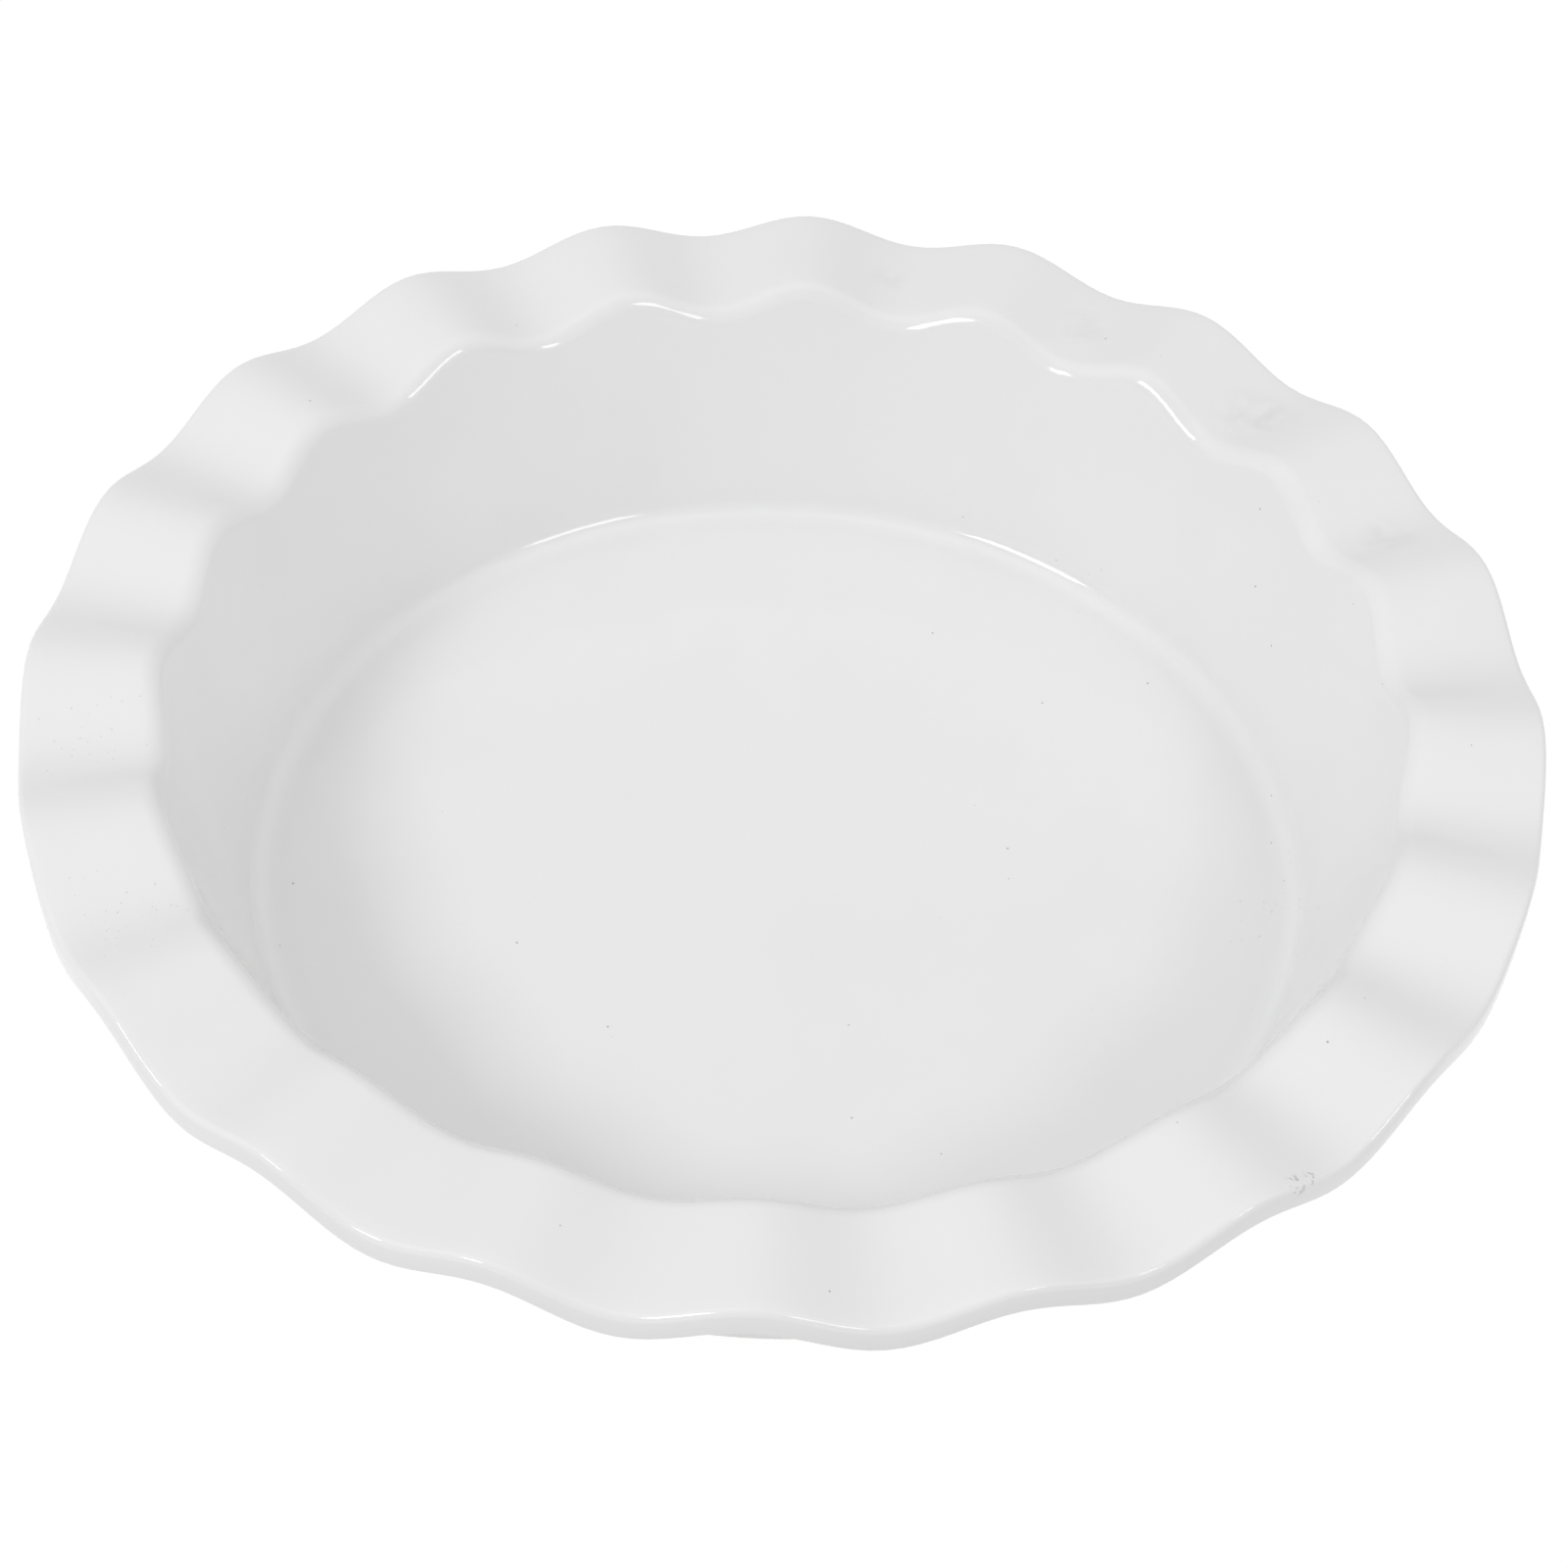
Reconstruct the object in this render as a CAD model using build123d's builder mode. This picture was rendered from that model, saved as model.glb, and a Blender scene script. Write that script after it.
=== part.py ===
from build123d import *
from math import atan, cos, hypot, pi, sin
import os

# A pie dish in white glazed stoneware: a round floor, a wall that leans outwards, and a wide
# flange that rises and falls in even waves and ends in a thick rounded lip.
# The origin is on the table, under the middle of the dish, and +Z is the dish's axis.
# Lengths are in millimetres, and the dish's sizes are those of its glazed surface.

# The well: a mouth of nominally nine inches, and a wall that narrows down to the floor
mouth_radius = 113.7
mouth_rounding = 4.4
floor_radius = 99.0
floor_rounding = 4.2
well_depth = 44.2

# The flange and its lip, and how much lower the flange is at the mouth than at the lip
flange_width = 24.7
flange_thickness = 6.2
flange_fall = 0.4
lip_rounding = 1.2

# The waves: how far the flange rises above its mean height, and falls below it
wave_count = 20
lip_wave = 2.6
mouth_wave = 2.55

# The wall's thickness at the throat under the flange and at the foot, square to the well's wall
throat_thickness = 6.5
throat_rounding = 4.5
foot_thickness = 8.3
foot_rounding = 2.5

# The floor, and the hollow under it that leaves a ring to stand on
floor_thickness = 6.5
recess_depth = 2.3
recess_rounding = 1.1
land_width = 6.0
land_rounding = 0.5

# The glaze, and the height above the table where it stops
glaze_thickness = 0.35
glaze_line = 1.0

# How finely the waves and the roundings are drawn
points_per_wave = 8
loops_per_rounding = 6

floor_height = recess_depth + floor_thickness
flange_height = floor_height + well_depth
throat_height = flange_height - flange_thickness
lip_radius = mouth_radius + flange_width

# A wall's slope is how much wider it gets for each millimetre of height, its lean is the same as
# an angle, and its spread is how far along the radius one millimetre of its thickness reaches
well_slope = (mouth_radius - floor_radius) / well_depth
well_lean = atan(well_slope)
well_spread = hypot(1, well_slope)
throat_radius = mouth_radius - well_slope * flange_thickness + throat_thickness * well_spread
foot_radius = floor_radius - well_slope * floor_height + foot_thickness * well_spread
wall_slope = (throat_radius - foot_radius) / throat_height
wall_lean = atan(wall_slope)
wall_spread = hypot(1, wall_slope)

# The hollow's roundings leave some of its low wall straight
recess_radius = foot_radius - foot_rounding - land_width
hollow_rounding = min(recess_rounding, recess_depth / 2)
land_edge_rounding = min(land_rounding, (recess_depth - hollow_rounding) / 2)


def well_radius(height, inset):
    """The radius of the well's wall at a height, where it lies inset under the glaze."""
    return floor_radius + well_slope * (height - floor_height) + well_spread * inset


def outside_radius(height, inset):
    """The radius of the outside wall at a height, where it lies inset under the glaze."""
    return foot_radius + wall_slope * height - wall_spread * inset


def wave_loop(radius, height, outward, upward):
    """A closed loop about the axis that moves outward and upward at each wave's crest."""
    points = []
    for step in range(wave_count * points_per_wave):
        turn = 2 * pi * step / (wave_count * points_per_wave)
        swing = cos(wave_count * turn)
        reach = radius + outward * swing
        points.append((reach * cos(turn), reach * sin(turn), height + upward * swing))
    with BuildLine() as loop:
        Spline(*points, periodic=True)
    return loop.wire()


def rounding(radius, height, size, start, end, outward=0, upward=0):
    """Loops through a rounding of this size, whose outline turns about (radius, height)."""
    loops = []
    for step in range(loops_per_rounding + 1):
        angle = start + (end - start) * step / loops_per_rounding
        loops.append(wave_loop(radius + size * cos(angle), height + size * sin(angle), outward, upward))
    return loops


def roundings(inset):
    """The dish's roundings from the foot over the lip to the floor, inset under the glaze.

    A rounding between the level flange and a leaning wall slides along that wall with the waves.
    """
    foot = foot_rounding - inset
    throat = throat_rounding + inset
    lip = lip_rounding - inset
    mouth = mouth_rounding - inset
    floor = floor_rounding + inset
    throat_middle = throat_height + inset - throat
    mouth_middle = flange_height - flange_fall - inset - mouth
    floor_middle = floor_height - inset + floor
    lip_middle = lip_radius - inset - lip
    return [
        rounding(outside_radius(foot, inset + foot), foot, foot, -pi / 2, -wall_lean),
        rounding(
            outside_radius(throat_middle, inset - throat), throat_middle, throat,
            pi - wall_lean, pi / 2, wall_slope * mouth_wave, mouth_wave,
        ),
        rounding(lip_middle, throat_height + inset + lip, lip, -pi / 2, 0, upward=lip_wave),
        rounding(lip_middle, flange_height - inset - lip, lip, 0, pi / 2, upward=lip_wave),
        rounding(
            well_radius(mouth_middle, inset + mouth), mouth_middle, mouth,
            pi / 2, pi - well_lean, well_slope * mouth_wave, mouth_wave,
        ),
        rounding(well_radius(floor_middle, inset - floor), floor_middle, floor, -well_lean, -pi / 2),
    ]


def skin(loops):
    """The faces through all these roundings, and the floor that closes the last of them."""
    faces = []
    for loops_of_one in loops:
        faces += Shell.make_loft(loops_of_one).faces()
    for lower, upper in zip(loops, loops[1:]):
        faces += Shell.make_loft([lower[-1], upper[0]], ruled=True).faces()
    return faces + [Face(loops[-1][-1])]


# The glazed surface and the clay's surface under it, both from the table to the floor
glazed = roundings(0)
clay = roundings(glaze_thickness)
clay_form = Solid(Shell(skin(clay) + [Face(clay[0][0])]))
glaze_form = Solid(Shell(skin(glazed) + skin(clay) + [Face(glazed[0][0], [clay[0][0]])]))

# The one fired piece of clay, which is hollowed under the floor and stands on the bare ring around
# the hollow
with BuildPart() as stoneware_body:
    add(clay_form)
    with BuildSketch():
        Circle(recess_radius + glaze_thickness)
    extrude(amount=recess_depth + glaze_thickness, mode=Mode.SUBTRACT)
    ceiling_edge = stoneware_body.edges(Select.LAST).filter_by(GeomType.CIRCLE).sort_by(Axis.Z)[-1]
    fillet(ceiling_edge, hollow_rounding + glaze_thickness)
    land = stoneware_body.faces().sort_by(Axis.Z)[0]
    fillet(land.edges().sort_by(SortBy.LENGTH)[0], land_edge_rounding)
stoneware_body.part.label = "stoneware_body"

# The glaze over the inside, the flange, the lip and the outside wall
with BuildPart() as glaze_coat:
    add(glaze_form)
    split(bisect_by=Plane.XY.offset(glaze_line), keep=Keep.TOP)
glaze_coat.part.label = "glaze_coat"

# The glaze in the hollow under the floor, parted from the rest by the bare ring
with BuildPart() as underside_glaze:
    with BuildSketch():
        Circle(recess_radius + glaze_thickness)
    extrude(amount=recess_depth + glaze_thickness)
    fillet(underside_glaze.edges().sort_by(Axis.Z)[-1], hollow_rounding + glaze_thickness)
    offset(amount=-glaze_thickness, openings=underside_glaze.faces().sort_by(Axis.Z)[0])
    split(bisect_by=Plane.XY.offset(glaze_line), keep=Keep.TOP)
underside_glaze.part.label = "underside_glaze"

os.makedirs("parts", exist_ok=True)
export_step(stoneware_body.part, "parts/stoneware_body.step")
export_step(glaze_coat.part, "parts/glaze_coat.step")
export_step(underside_glaze.part, "parts/underside_glaze.step")

for piece in (stoneware_body, glaze_coat, underside_glaze):
    print(piece.part.label, len(piece.solids()), "solid of", round(piece.part.volume), "cubic millimetres")
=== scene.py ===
# %% [markdown]
# # A ruffled pie dish in white glazed stoneware
#
# The dish is one piece of fired clay under a skin of glossy white glaze. It has a flat round floor, a
# wall that leans outwards, and a wide flange that rises and falls in twenty even waves. It stands on a
# bare ring of clay, where the glaze was wiped off before firing.
#
# The measured solids of the dish are loaded first, and they say where everything is. Each later step
# builds one surface or one finish around them, and prints what it made.

# %% Load the measured dish
import math

import bmesh
import bpy
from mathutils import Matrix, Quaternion, Vector


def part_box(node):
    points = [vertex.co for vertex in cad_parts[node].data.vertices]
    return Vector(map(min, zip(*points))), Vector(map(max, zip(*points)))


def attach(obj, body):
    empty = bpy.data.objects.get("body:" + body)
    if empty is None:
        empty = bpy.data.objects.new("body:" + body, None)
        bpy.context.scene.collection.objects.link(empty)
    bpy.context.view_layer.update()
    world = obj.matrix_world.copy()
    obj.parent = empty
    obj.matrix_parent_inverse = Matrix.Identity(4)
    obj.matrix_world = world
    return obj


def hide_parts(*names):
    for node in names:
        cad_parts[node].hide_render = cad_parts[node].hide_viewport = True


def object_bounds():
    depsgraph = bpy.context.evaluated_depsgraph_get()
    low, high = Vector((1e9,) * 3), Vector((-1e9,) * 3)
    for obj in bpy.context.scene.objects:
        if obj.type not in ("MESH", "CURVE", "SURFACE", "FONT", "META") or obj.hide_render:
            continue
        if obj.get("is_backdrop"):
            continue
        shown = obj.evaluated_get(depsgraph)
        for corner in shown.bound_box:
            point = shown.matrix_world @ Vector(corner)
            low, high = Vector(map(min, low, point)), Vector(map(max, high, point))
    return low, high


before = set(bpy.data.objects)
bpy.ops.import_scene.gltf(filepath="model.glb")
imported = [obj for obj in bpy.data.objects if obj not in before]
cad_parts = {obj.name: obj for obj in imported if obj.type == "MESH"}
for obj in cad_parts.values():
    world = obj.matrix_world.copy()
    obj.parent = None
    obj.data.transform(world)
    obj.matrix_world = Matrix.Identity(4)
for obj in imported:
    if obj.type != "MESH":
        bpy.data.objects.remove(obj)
cad_low, cad_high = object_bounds()
mm = 0.001
cm = 0.01
print("pieces:", sorted(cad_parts))
print("the dish is", [round((high - low) / mm, 1) for low, high in zip(cad_low, cad_high)], "mm")

# %% [markdown]
# ## The sizes of the dish
#
# A potter's drawing gives a dish by its section: the radius and height of each corner, and how far the
# corner is rounded. The overall radius and the height of the glaze line are read from the loaded
# solids. The others repeat the sizes that the solids were made from, and every corner is worked out
# from them.

# %% Sizes of the section
lip_radius = cad_high.x
mouth_radius = 113.7 * mm
mouth_rounding = 4.4 * mm
floor_radius = 99.0 * mm
floor_rounding = 4.2 * mm
well_depth = 44.2 * mm
flange_thickness = 6.2 * mm
flange_fall = 0.4 * mm
lip_rounding = 1.2 * mm
throat_thickness = 6.5 * mm
throat_rounding = 4.5 * mm
foot_thickness = 8.3 * mm
foot_rounding = 2.5 * mm
floor_thickness = 6.5 * mm
recess_depth = 2.3 * mm
recess_rounding = 1.1 * mm
land_width = 6.0 * mm
land_rounding = 0.5 * mm
glaze_thickness = 0.35 * mm
glaze_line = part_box("glaze_coat")[0].z

floor_height = recess_depth + floor_thickness
flange_height = floor_height + well_depth
throat_height = flange_height - flange_thickness
well_slope = (mouth_radius - floor_radius) / well_depth
well_spread = math.hypot(1, well_slope)
throat_radius = mouth_radius - well_slope * flange_thickness + throat_thickness * well_spread
foot_radius = floor_radius - well_slope * floor_height + foot_thickness * well_spread
wall_slope = (throat_radius - foot_radius) / throat_height
wall_spread = math.hypot(1, wall_slope)
recess_radius = foot_radius - foot_rounding - land_width
print("the flange's mean height is", round(flange_height / mm, 1), "mm")
print("the foot reaches", round(foot_radius / mm, 1), "mm from the axis")

# %% [markdown]
# ## From a few corners to a section
#
# A section is a chain of straight lines with rounded corners. It could be typed as a long list of
# points, but nobody could change that later. Here only the corners are placed, and the bevel tool
# rounds each one by its real radius, as it would round the corner of a drawing. Then the long
# straight stretches are cut into shorter ones, because the waves need something to bend.

# %% A rounded section
facet = 0.45 * mm
fewest_facets = 3
stretch = 2.6 * mm


def rounding_steps(point, rounding):
    """How far from a corner its rounding starts, and into how many facets it is cut."""
    first, second = [edge.other_vert(point).co - point.co for edge in point.link_edges]
    turn = math.pi - first.angle(second)
    return rounding * math.tan(turn / 2), max(fewest_facets, round(rounding * turn / facet))


def section(corners):
    """A wire in the plane of X and Z through corners that are given as radius, height and rounding."""
    wire = bmesh.new()
    points = [wire.verts.new((radius, 0, height)) for radius, height, rounding in corners]
    for start, end in zip(points, points[1:]):
        wire.edges.new((start, end))
    for point, (radius, height, rounding) in zip(points, corners):
        if rounding:
            offset, segments = rounding_steps(point, rounding)
            bmesh.ops.bevel(
                wire, geom=[point], offset=offset, offset_type="OFFSET", segments=segments,
                profile=0.5, affect="VERTICES", material=-1,
            )
    for edge in wire.edges[:]:
        cuts = int(edge.calc_length() / stretch)
        if cuts:
            bmesh.ops.subdivide_edges(wire, edges=[edge], cuts=cuts)
    return wire


print("a rounding is cut into facets of about", round(facet / mm, 2), "mm")

# %% [markdown]
# ## The corners of the dish
#
# The skin of the dish is drawn twice: as its glazed surface, and a little further in, where the clay
# lies under the glaze. A finished outline could be shrunk by the glaze's thickness, but that easily
# folds over at a corner. So the corners themselves are worked out for any inset, and each rounding
# grows or shrinks with it, which keeps the glaze equally thick all the way.

# %% The corners of the dish
def skin_corners(inset):
    """The corners from the foot over the lip to the middle of the floor, inset under the glaze."""
    low = throat_height + inset
    high = flange_height - inset
    mouth = high - flange_fall
    mouth_reach = floor_radius + well_slope * (mouth - floor_height) + well_spread * inset
    floor = floor_height - inset
    lip = lip_radius - inset
    return [
        (foot_radius - wall_spread * inset, 0, foot_rounding - inset),
        (foot_radius + wall_slope * low - wall_spread * inset, low, throat_rounding + inset),
        (lip, low, lip_rounding - inset),
        (lip, high, lip_rounding - inset),
        (mouth_reach, mouth, mouth_rounding - inset),
        (floor_radius - well_slope * inset + well_spread * inset, floor, floor_rounding + inset),
        (0, floor, 0),
    ]


def recess_corners(inset):
    """The corners of the hollow under the floor, from its middle out to the table."""
    return [
        (0, recess_depth + inset, 0),
        (recess_radius + inset, recess_depth + inset, recess_rounding + inset),
        (recess_radius + inset, 0, 0),
    ]


print("corners in the skin:", len(skin_corners(0)), "and in the hollow:", len(recess_corners(0)))

# %% [markdown]
# ## Ruffling the flange
#
# A ruffle could be drawn as curves before the dish is turned, but it is simpler to bend the finished
# form. The whole flange is pushed up and down along a cosine, twenty times round. The wall under it is
# stretched to follow, and each of its points slides along the wall's own slope, so the wall stays
# straight while its top edge becomes a ruffle.

# %% Ruffling the flange
wave_count = 20
wave_angle = math.tau / wave_count
lip_wave = 2.6 * mm
mouth_wave = 2.55 * mm
wall_still = floor_height + floor_rounding
wall_moving = throat_height - throat_rounding


def share(value, start, end):
    """How far a value is from start to end: 0 at the start or before it, 1 at the end or past it."""
    return min(max((value - start) / (end - start), 0), 1)


def ruffle(solid):
    """Moves the flange up and down in waves, and lets the wall follow along its slope."""
    slope = (well_slope + wall_slope) / 2
    for vert in solid.verts:
        reach = vert.co.xy.length
        lifted = share(vert.co.z, wall_still, wall_moving)
        if lifted:
            swing = lifted * math.cos(wave_count * math.atan2(vert.co.y, vert.co.x))
            outer = share(reach, throat_radius + throat_rounding, lip_radius)
            rise = swing * (mouth_wave + (lip_wave - mouth_wave) * outer)
            spread = 1 + slope * mouth_wave * swing * (1 - outer) / reach
            vert.co = Vector((vert.co.x * spread, vert.co.y * spread, vert.co.z + rise))


print("each wave spans", round(math.degrees(wave_angle)), "degrees")

# %% [markdown]
# ## Turning the section
#
# The spin tool turns the section about the axis, as a potter's wheel does. Turning it through the full
# circle in hundreds of steps is slow, so it is turned through one wave only. The spin tool then copies
# that slice round the circle, the slices are merged where they meet, and the waves come last.

# %% Turning the section
points_per_wave = 16
merge_distance = facet / 20
crease_angle = math.radians(40)


def turned(wire, name):
    """Spins a section into a closed solid, ruffles it, and makes it a piece of the dish."""
    bmesh.ops.spin(
        wire, geom=wire.verts[:] + wire.edges[:], cent=(0, 0, 0), axis=(0, 0, 1),
        angle=wave_angle, steps=points_per_wave,
    )
    bmesh.ops.spin(
        wire, geom=wire.verts[:] + wire.edges[:] + wire.faces[:], cent=(0, 0, 0), axis=(0, 0, 1),
        angle=math.tau - wave_angle, steps=wave_count - 1, use_duplicate=True,
    )
    bmesh.ops.remove_doubles(wire, verts=wire.verts, dist=merge_distance)
    bmesh.ops.recalc_face_normals(wire, faces=wire.faces)
    ruffle(wire)
    mesh = bpy.data.meshes.new(name)
    wire.to_mesh(mesh)
    open_edges = sum(not edge.is_manifold for edge in wire.edges)
    cubic_cm = wire.calc_volume() / cm**3
    wire.free()
    mesh.shade_smooth()
    mesh.set_sharp_from_angle(angle=crease_angle)
    piece = bpy.data.objects.new(name, mesh)
    bpy.context.scene.collection.objects.link(piece)
    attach(piece, "root")
    print(name, len(mesh.polygons), "faces,", open_edges, "open edges,", round(cubic_cm, 1), "cm3")
    return piece


print("a full turn takes", wave_count * points_per_wave, "steps, of which one wave takes", points_per_wave)

# %% [markdown]
# ## The clay body
#
# The clay is one piece, so one section makes all of it: from the middle of the hollow under the floor
# over the bare ring that it stands on, up the outside, over the lip and down to the floor.
# Nearly all of it is hidden by glaze, and only the ring shows.

# %% The clay body
ring_corners = recess_corners(glaze_thickness)[:2] + [(recess_radius + glaze_thickness, 0, land_rounding)]
stoneware = turned(section(ring_corners + skin_corners(glaze_thickness)), "clay_body")
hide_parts("stoneware_body")

# %% [markdown]
# ## The coat of glaze
#
# A glaze is a thin sheet of glass on the clay. It could be painted on as a material alone, but a real
# coat has two sides and an edge, and the edge shows just above the foot, where the glaze was wiped
# away. So the coat is two sections, one for each side, joined at the glaze line and turned as one.

# %% The coat of glaze
cut_tolerance = facet / 1000


def above_glaze_line(wire):
    """Cuts off what a section has below the glaze line."""
    bmesh.ops.bisect_plane(
        wire, geom=wire.verts[:] + wire.edges[:], dist=cut_tolerance,
        plane_co=(0, 0, glaze_line), plane_no=(0, 0, 1), clear_inner=True,
    )


def joined(first, second):
    """Two sections in one wire, closed by an edge between the ends that lie at the glaze line."""
    copy = bpy.data.meshes.new("second_side")
    second.to_mesh(copy)
    second.free()
    first.from_mesh(copy)
    bpy.data.meshes.remove(copy)
    first.edges.new([vert for vert in first.verts if len(vert.link_edges) == 1 and vert.co.x > facet])
    return first


def glaze_sheet(corners_at):
    """The wire of a sheet of glaze between a surface and the clay under it."""
    sides = [section(corners_at(0)), section(corners_at(glaze_thickness))]
    for side in sides:
        above_glaze_line(side)
    return joined(*sides)


def coat_corners(inset):
    """The corners of the coat, which starts under the foot so that the foot can be rounded."""
    return [(recess_radius, 0, 0)] + skin_corners(inset)


coat = turned(glaze_sheet(coat_corners), "white_glaze_coat")
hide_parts("glaze_coat")

# %% [markdown]
# ## The glaze under the floor
#
# The hollow under the floor is glazed too. The bare ring parts this disc of glaze from the rest, so it
# is a piece of its own, made in the same way.

# %% The glaze under the floor
underside = turned(glaze_sheet(recess_corners), "underside_glaze_disc")
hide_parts("underside_glaze")

# %% [markdown]
# ## Writing materials as sums
#
# A material is a network of nodes, and drawing one in code node by node is long and hard to read. The
# class below wraps one output of a node, so that `1 - mask` or `mask * 0.3` adds the Math node that
# does it. Every other node comes from its method `node`, which takes the node's type, its settings,
# what goes into its sockets and which of its outputs is wanted.

# %% A wire between nodes
class Wire:
    """One output in a node tree. Sums and products of wires and numbers add Math nodes."""

    def __init__(self, tree, socket=None):
        self.tree = tree
        self.socket = socket

    def node(self, kind, settings=None, inputs=None, output=0):
        """Adds a node, sets it up, feeds its sockets and gives back one of its outputs."""
        made = self.tree.nodes.new(kind)
        for name, value in (settings or {}).items():
            setattr(made, name, value)
        for name, value in (inputs or {}).items():
            if isinstance(value, Wire):
                self.tree.links.new(value.socket, made.inputs[name])
            else:
                made.inputs[name].default_value = value
        return Wire(self.tree, made.outputs[output] if made.outputs else None)

    def math(self, operation, first, second=0.0):
        return self.node("ShaderNodeMath", {"operation": operation}, {0: first, 1: second})

    def __add__(self, other):
        return self.math("ADD", self, other)

    def __sub__(self, other):
        return self.math("SUBTRACT", self, other)

    def __rsub__(self, other):
        return self.math("SUBTRACT", other, self)

    def __mul__(self, other):
        return self.math("MULTIPLY", self, other)

    def __gt__(self, other):
        return self.math("GREATER_THAN", self, other)

    def __lt__(self, other):
        return self.math("LESS_THAN", self, other)

    __radd__ = __add__


def empty_tree(owner):
    """Clears the node tree of a material or a world and gives back a wire that can add nodes to it."""
    owner.use_nodes = True
    owner.node_tree.nodes.clear()
    return Wire(owner.node_tree)


print("wires of nodes can be added, subtracted, multiplied and compared")

# %% [markdown]
# ## Marks that keep to their places
#
# The flange is where the dish is gripped and rubbed, so it has a few faint grey scuffs and a dark
# scratch, and bubbles in the kiln left clusters of tiny pinholes. They could be strewn at random, but
# each has its place on this dish, so it is put there by its angle round the axis. A mask says how
# strongly a mark shows at each point of the surface, from 0 to 1. It is worked out from where that
# point is on the dish, so the marks stay put from wherever the dish is looked at.

# %% Marks that keep to their places
flange_middle = (mouth_radius + lip_radius) / 2
pinhole_clusters = [
    (-172, flange_middle, flange_height, 13 * mm),
    (-152, flange_middle, flange_height, 14 * mm),
    (-4, floor_radius, floor_height, 17 * mm),
    (50, floor_radius, floor_height, 10 * mm),
]
scuffs = [
    (82, flange_middle, flange_height, 5 * mm),
    (63, flange_middle, flange_height, 7 * mm),
    (44, flange_middle, flange_height, 10 * mm),
    (25, flange_middle, flange_height, 7 * mm),
]
scratches = [
    (-50.5, lip_radius - lip_rounding, flange_height, 2.4 * mm),
    (-49, lip_radius - lip_rounding, flange_height, 2.0 * mm),
]


def near(tree, place, spots):
    """1 in the middle of any of these spots, fading to 0 at its edge.

    A spot is given by its angle in degrees, its distance from the axis, its height and its radius.
    """
    nearest = 0.0
    for angle, reach, height, radius in spots:
        turn = math.radians(angle)
        middle = (reach * math.cos(turn), reach * math.sin(turn), height)
        away = tree.node("ShaderNodeVectorMath", {"operation": "DISTANCE"}, {0: place, 1: middle}, "Value")
        fade = tree.node("ShaderNodeMapRange", {}, {"Value": away, "From Min": radius, "From Max": 0.0})
        nearest = tree.math("MAXIMUM", fade, nearest)
    return nearest


print("marks put in their places:", len(pinhole_clusters + scuffs + scratches))

# %% [markdown]
# ## Painted light round the floor
#
# The glossy hollow where the wall meets the floor gathers light and throws it onto the floor
# next to it, and a ring there is painted a hair whiter as painted light. The mask for that ring measures
# how far a point is from the middle of the ring, first along the radius and then in height, and adds
# the two as the sides of a triangle.

# %% Painted light round the floor
# The width and the middle of the ring of painted light round the floor.
corner_light_width = 4.5 * mm
corner_light_radius = floor_radius - floor_rounding / 4


def along(vector, axis):
    """How far a vector reaches along an axis."""
    return vector.node("ShaderNodeVectorMath", {"operation": "DOT_PRODUCT"}, {0: vector, 1: axis}, "Value")


def in_floor_corner(tree, place):
    """1 on the ring where the floor meets the wall, fading to 0 on both sides of it."""
    flat = tree.node("ShaderNodeVectorMath", {"operation": "MULTIPLY"}, {0: place, 1: (1, 1, 0)})
    reach = tree.node("ShaderNodeVectorMath", {"operation": "LENGTH"}, {0: flat}, "Value")
    across = tree.math("POWER", reach - corner_light_radius, 2.0)
    upwards = tree.math("POWER", along(place, (0, 0, 1)) - floor_height, 2.0)
    distance = tree.math("POWER", across + upwards, 0.5)
    return tree.node(
        "ShaderNodeMapRange", {"interpolation_type": "SMOOTHSTEP"},
        {"Value": distance, "From Min": corner_light_width, "From Max": 0.0},
    )


# The ring of painted light lies this far from the axis.
print("the glaze pools at", round(corner_light_radius / mm, 1), "mm from the axis")

# %% [markdown]
# ## Pinholes
#
# A bubble that bursts as the glaze melts leaves a hole as fine as a pinprick. The Voronoi pattern cuts
# space into cells with one point in each, and gives every cell a random colour. One channel of that
# colour decides whether the cell has a hole round its point, and another decides how large it is.

# %% Pinholes
cell_of_pinhole = 1.1 * mm
size_of_pinhole = 0.17 * mm
smallest_share = 0.4


def pinholes(tree, place, share_of_cells):
    """Dots in cells of a Voronoi pattern, in this share of the cells."""
    cells = {"Vector": place, "Scale": 1 / cell_of_pinhole}
    distance = tree.node("ShaderNodeTexVoronoi", {}, cells, "Distance")
    chance = tree.node("ShaderNodeTexVoronoi", {}, cells, "Color")
    size = along(chance, (0, 1, 0)) * (1 - smallest_share) + smallest_share
    hole = size * (size_of_pinhole / cell_of_pinhole) > distance
    return hole * (share_of_cells > along(chance, (1, 0, 0)))


print("the largest pinhole is", round(2 * size_of_pinhole / mm, 2), "mm across")

# %% [markdown]
# ## All marks together
#
# Iron in the clay leaves a few dark specks, which may be strewn anywhere. The scuffs and scratches are
# broken up by noise, because nothing rubs a glaze evenly. Each mark has a strength, and where marks
# overlap the strongest one shows, because sums would come out darker than any of them. A noise's scale
# is about how many of its blobs fit in a metre.

# %% All marks together
cell_of_speck = 11 * mm
size_of_speck = 0.2 * mm
stray_pinholes_share = 0.002
scuff_scale = 260.0
scratch_scale = 900.0
speck_strength = 0.75
pinhole_strength = 0.3
scuff_strength = 0.16
scratch_strength = 0.9


def patches(tree, place, scale, start, end, detail=2.0):
    """Soft-edged patches: 0 where the noise is under start, and 1 where it is over end."""
    noise = tree.node("ShaderNodeTexNoise", {}, {"Vector": place, "Scale": scale, "Detail": detail})
    return tree.node("ShaderNodeMapRange", {}, {"Value": noise, "From Min": start, "From Max": end})


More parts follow.
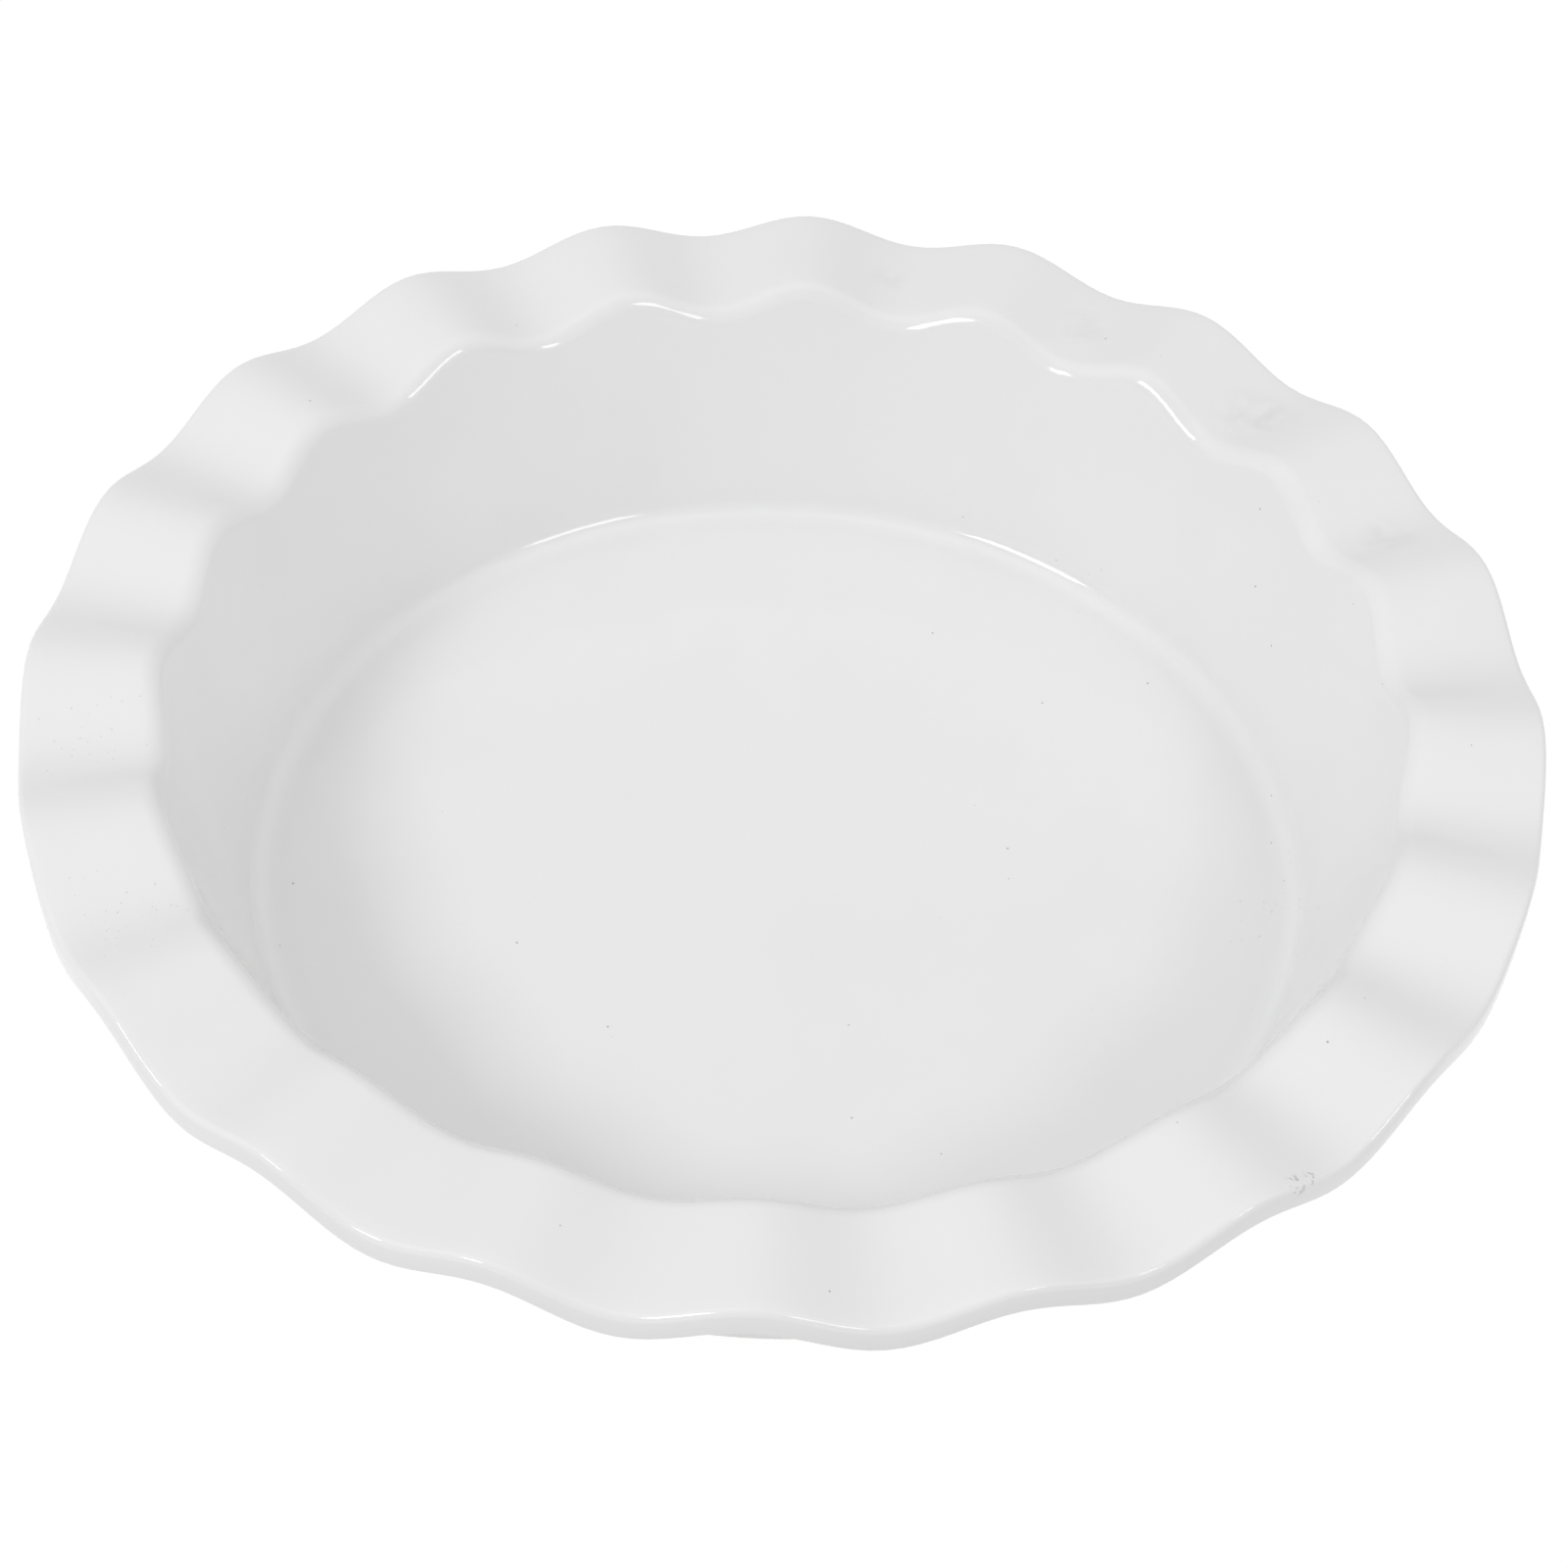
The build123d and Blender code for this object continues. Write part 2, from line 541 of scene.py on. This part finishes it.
def marks(tree, place):
    """How strongly the marks show, and where the glaze is dented by a speck or a pinhole."""
    spots = tree.node("ShaderNodeTexVoronoi", {}, {"Vector": place, "Scale": 1 / cell_of_speck}, "Distance")
    speck = spots < size_of_speck / cell_of_speck
    pinhole = pinholes(tree, place, near(tree, place, pinhole_clusters) + stray_pinholes_share)
    scuff = near(tree, place, scuffs) * patches(tree, place, scuff_scale, start=0.35, end=0.65, detail=5.0)
    scratch = near(tree, place, scratches) * patches(tree, place, scratch_scale, start=0.56, end=0.6)
    worn = tree.math("MAXIMUM", scuff * scuff_strength, scratch * scratch_strength)
    dotted = tree.math("MAXIMUM", speck * speck_strength, pinhole * pinhole_strength)
    return tree.math("MAXIMUM", dotted, worn), speck + pinhole


print("the largest speck is", round(2 * size_of_speck / mm, 2), "mm across")

# %% [markdown]
# ## White glaze
#
# This glaze is plain white and as glossy as glass, and what makes it look real is how little it
# varies. It is a hair greyer here and there, and darker and less glossy where a mark shows. A ring
# round the floor is painted a hair whiter, as painted light from the hollow corner. The surface is
# never quite flat, so a highlight wavers as it runs along an edge: a slow drift does most of that,
# and a faint orange peel the rest.

# %% White glaze
glaze_colour = (0.915, 0.915, 0.915, 1)
thin_colour = (0.9, 0.9, 0.9, 1)
# The whiter colour of the ring of painted light in the floor corner.
corner_light_colour = (0.945, 0.945, 0.945, 1)
speck_colour = (0.3, 0.295, 0.29, 1)
thin_scale = 26.0
drift_scale = 22.0
peel_scale = 75.0
peel_share = 0.12
dent_share = 0.3
unevenness = 0.12 * mm
glaze_roughness = 0.08
mark_roughness = 0.5
glaze_ior = 1.5


def white_glaze():
    material = bpy.data.materials.new("white_glaze")
    tree = empty_tree(material)
    place = tree.node("ShaderNodeTexCoord", output="Object")
    thin = patches(tree, place, thin_scale, start=0.5, end=0.75)
    # A ring of painted light, a hair whiter, round the floor corner.
    corner_light = in_floor_corner(tree, place)
    marked, dented = marks(tree, place)
    colour = glaze_colour
    for mask, its_colour in ((thin, thin_colour), (corner_light, corner_light_colour), (marked, speck_colour)):
        mix = {0: mask, 6: colour, 7: its_colour}
        colour = tree.node("ShaderNodeMix", {"data_type": "RGBA"}, mix, 2)
    drift = tree.node("ShaderNodeTexNoise", {}, {"Vector": place, "Scale": drift_scale, "Detail": 0.0})
    peel = tree.node("ShaderNodeTexNoise", {}, {"Vector": place, "Scale": peel_scale, "Detail": 1.0})
    height = drift + peel * peel_share - dented * dent_share
    relief = {"Height": height, "Strength": 1.0, "Distance": unevenness}
    bump = tree.node("ShaderNodeBump", {}, relief, "Normal")
    roughness = glaze_roughness + marked * mark_roughness
    finish = {"Base Color": colour, "Roughness": roughness, "IOR": glaze_ior, "Normal": bump}
    surface = tree.node("ShaderNodeBsdfPrincipled", {}, finish)
    tree.node("ShaderNodeOutputMaterial", {}, {"Surface": surface})
    return material


def dress(piece, material):
    """Gives a piece one material."""
    piece.data.materials.clear()
    piece.data.materials.append(material)
    print(piece.name, "wears", material.name, "of", len(material.node_tree.nodes), "nodes")


glaze = white_glaze()
dress(coat, glaze)
dress(underside, glaze)

# %% [markdown]
# ## Bare stoneware
#
# Where it isn't glazed, the clay is matte and slightly gritty, and a warm off-white. It is seen only on
# the ring that the dish stands on, which rubs on shelves and tables and is a little darker in its
# pores.

# %% Bare stoneware
clay_colour = (0.66, 0.6, 0.51, 1)
pore_colour = (0.42, 0.37, 0.3, 1)
grit_scale = 1900.0
rubbed_scale = 160.0
pore_level = 0.4
pore_strength = 0.7
rubbed_strength = 0.2
clay_roughness = 0.95
grit_strength = 0.6
grit_depth = 0.1 * mm


def bare_stoneware():
    material = bpy.data.materials.new("bare_stoneware")
    tree = empty_tree(material)
    place = tree.node("ShaderNodeTexCoord", output="Object")
    grit = tree.node("ShaderNodeTexNoise", {}, {"Vector": place, "Scale": grit_scale, "Detail": 3.0})
    noise = tree.node("ShaderNodeTexNoise", {}, {"Vector": place, "Scale": rubbed_scale, "Detail": 2.0})
    rubbed = noise * rubbed_strength
    pores = (grit < pore_level) * pore_strength
    mix = {0: pores + rubbed, 6: clay_colour, 7: pore_colour}
    colour = tree.node("ShaderNodeMix", {"data_type": "RGBA"}, mix, 2)
    relief = {"Height": grit, "Strength": grit_strength, "Distance": grit_depth}
    bump = tree.node("ShaderNodeBump", {}, relief, "Normal")
    finish = {"Base Color": colour, "Roughness": clay_roughness - rubbed, "Normal": bump}
    surface = tree.node("ShaderNodeBsdfPrincipled", {}, finish)
    tree.node("ShaderNodeOutputMaterial", {}, {"Surface": surface})
    return material


dress(stoneware, bare_stoneware())

# %% [markdown]
# ## The camera
#
# The camera looks down at the dish from about forty-five degrees, from less than a metre away, so the
# near side of the flange looks wider than the far side. It is held slightly rolled, which makes the
# dish tip down to the right. It sits on a sphere round the middle of the lip, and its three small
# turns are applied one after the other.

# %% The camera
camera_distance = 0.6909
camera_elevation = math.radians(45.5585)
camera_azimuth = math.radians(0.286)
camera_roll = math.radians(2.629)
camera_pan = math.radians(-0.0442)
camera_tilt = math.radians(-1.1279)
lens_mm = 86.643
sensor_mm = 36
nearest_seen = 0.05

lip_middle = Vector((0, 0, flange_height - flange_thickness / 2))
round_the_axis = Quaternion((0, 0, 1), camera_azimuth)
turn = (
    round_the_axis
    @ Quaternion((1, 0, 0), math.pi / 2 - camera_elevation)
    @ Quaternion((0, 1, 0), camera_pan)
    @ Quaternion((1, 0, 0), camera_tilt)
    @ Quaternion((0, 0, 1), camera_roll)
)
back = round_the_axis @ Vector((0, -math.cos(camera_elevation), math.sin(camera_elevation)))
lens = bpy.data.cameras.new("camera")
lens.sensor_width = sensor_mm
lens.lens = lens_mm
lens.clip_start = nearest_seen
camera = bpy.data.objects.new("camera", lens)
camera.location = lip_middle + back * camera_distance
camera.rotation_mode = "QUATERNION"
camera.rotation_quaternion = turn
bpy.context.scene.collection.objects.link(camera)
bpy.context.scene.camera = camera
print("the camera is at", [round(value, 3) for value in camera.location])

# %% [markdown]
# ## Two soft lamps
#
# A glossy white thing on white is lit so softly that its shape shows only by faint tones and by thin
# bright lines, where its rounded edges mirror the lamps. Two oblong lamps stand in front, one at each
# side and both about forty degrees up. How wide and how high each one looks from the dish sets how
# long and how thick the bright lines are. The left one is stronger, so the slopes that face right
# are a little darker.

# %% Two soft lamps
lamp_distance = 2.2


def soft_lamp(name, azimuth, elevation, width, height, brightness):
    """An oblong lamp that points at the dish, with its place and its size as seen from there in degrees.

    Its brightness is how white it looks in a mirror, where 1 is the white of the tent.
    """
    across, up = math.radians(azimuth), math.radians(elevation)
    away = Vector((math.cos(across) * math.cos(up), math.sin(across) * math.cos(up), math.sin(up)))
    lamp = bpy.data.lights.new(name, "AREA")
    lamp.shape = "RECTANGLE"
    lamp.size = 2 * lamp_distance * math.tan(math.radians(width) / 2)
    lamp.size_y = 2 * lamp_distance * math.tan(math.radians(height) / 2)
    lamp.energy = brightness * math.pi * lamp.size * lamp.size_y
    stand = bpy.data.objects.new(name, lamp)
    stand.location = lip_middle + away * lamp_distance
    stand.rotation_mode = "QUATERNION"
    stand.rotation_quaternion = (-away).to_track_quat("-Z", "Y")
    bpy.context.scene.collection.objects.link(stand)
    print(name, "is", round(lamp.size, 2), "by", round(lamp.size_y, 2), "m, of", round(lamp.energy), "watts")


soft_lamp("left_lamp", azimuth=-144.5, elevation=42, width=20, height=14, brightness=9.2)
soft_lamp("right_lamp", azimuth=-40, elevation=44, width=18, height=12, brightness=5.6)

# %% [markdown]
# ## White all round
#
# The room is a plain white tent. The camera sees it as pure white, and so does the mirror in the
# glaze, apart from the tent's open front, which is dimmer. The light that it sheds on the dish is
# weaker, so that the white dish still stands out. Most of that light comes from the tent's roof and its
# two side walls, and little from in front, where the camera stands.

# %% White all round
light_all_round = 0.12
light_of_roof = 0.41
light_of_sides = 0.47
light_of_front = 0.1
white_of_opening = 0.15
edge_of_opening = 0.35
tent_white = (1, 1, 1, 1)


def ray_is(tree, *kinds):
    """1 where a ray is of one of these kinds, and 0 where it is of another, such as shed light."""
    found = 0.0
    for kind in kinds:
        found = tree.math("MAXIMUM", tree.node("ShaderNodeLightPath", output=f"Is {kind} Ray"), found)
    return found


def white_tent():
    world = bpy.data.worlds.new("white_tent")
    tree = empty_tree(world)
    way = tree.node("ShaderNodeTexCoord", output="Generated")
    forwards = along(way, (0, -1, 0))
    roof = tree.math("MAXIMUM", along(way, (0, 0, 1)), 0.0)
    sides = tree.math("ABSOLUTE", along(way, (1, 0, 0)))
    front = tree.math("MAXIMUM", forwards, 0.0)
    shed = roof * light_of_roof + sides * light_of_sides + front * light_of_front + light_all_round
    fade = {"Value": forwards, "From Max": edge_of_opening, "To Min": 1.0, "To Max": white_of_opening}
    mirrored = ray_is(tree, "Glossy", "Transmission") * tree.node("ShaderNodeMapRange", {}, fade)
    seen = tree.math("MAXIMUM", ray_is(tree, "Camera"), mirrored)
    strength = seen + shed * (1 - ray_is(tree, "Camera", "Glossy", "Transmission"))
    light = tree.node("ShaderNodeBackground", {}, {"Color": tent_white, "Strength": strength})
    tree.node("ShaderNodeOutputWorld", {}, {"Surface": light})
    bpy.context.scene.world = world
    print("the tent sheds", round(light_all_round + light_of_roof, 2), "of its white from straight above")


white_tent()

# %% [markdown]
# ## A light table
#
# The dish stands on a light table. Part of the table's light is its own, which brightens the outside
# of the dish under the flange. The rest is what falls on it, so it takes a faint shadow. To the camera
# and in the glaze it is nearly as white as the tent. From underneath it can be looked through, so that
# the foot can be seen too.

# %% A light table
floor_size = 6.0
floor_colour = (0.5, 0.5, 0.5, 1)
floor_glow = 1.11
glow_seen_share = 0.86
glow_shed_share = 0.34


def pale_floor():
    material = bpy.data.materials.new("pale_floor")
    tree = empty_tree(material)
    paint = tree.node("ShaderNodeBsdfDiffuse", {}, {"Color": floor_colour})
    glow = tree.node("ShaderNodeEmission", {}, {"Color": tent_white, "Strength": floor_glow})
    seen = ray_is(tree, "Camera", "Glossy", "Transmission")
    glow_share = seen * (glow_seen_share - glow_shed_share) + glow_shed_share
    top = tree.node("ShaderNodeMixShader", {}, {0: glow_share, 1: paint, 2: glow})
    beneath = tree.node("ShaderNodeNewGeometry", output="Backfacing")
    clear = tree.node("ShaderNodeBsdfTransparent")
    surface = tree.node("ShaderNodeMixShader", {}, {0: beneath, 1: top, 2: clear})
    tree.node("ShaderNodeOutputMaterial", {}, {"Surface": surface})
    return material


ground = bmesh.new()
bmesh.ops.create_grid(ground, x_segments=1, y_segments=1, size=floor_size / 2)
ground_mesh = bpy.data.meshes.new("floor")
ground.to_mesh(ground_mesh)
ground.free()
floor = bpy.data.objects.new("floor", ground_mesh)
bpy.context.scene.collection.objects.link(floor)
dress(floor, pale_floor())
floor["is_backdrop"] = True

bpy.context.scene.view_settings.view_transform = "Standard"

# %% [markdown]
# ## Compare the size
#
# The finished dish must fill the same box as the measured solids. The last line prints how far the
# two boxes differ.

# %% Compare the size
low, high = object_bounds()
changes = [(after - before) / mm for after, before in zip([*low, *high], [*cad_low, *cad_high])]
print("the finished dish's box differs by", [round(change, 3) for change in changes], "mm")
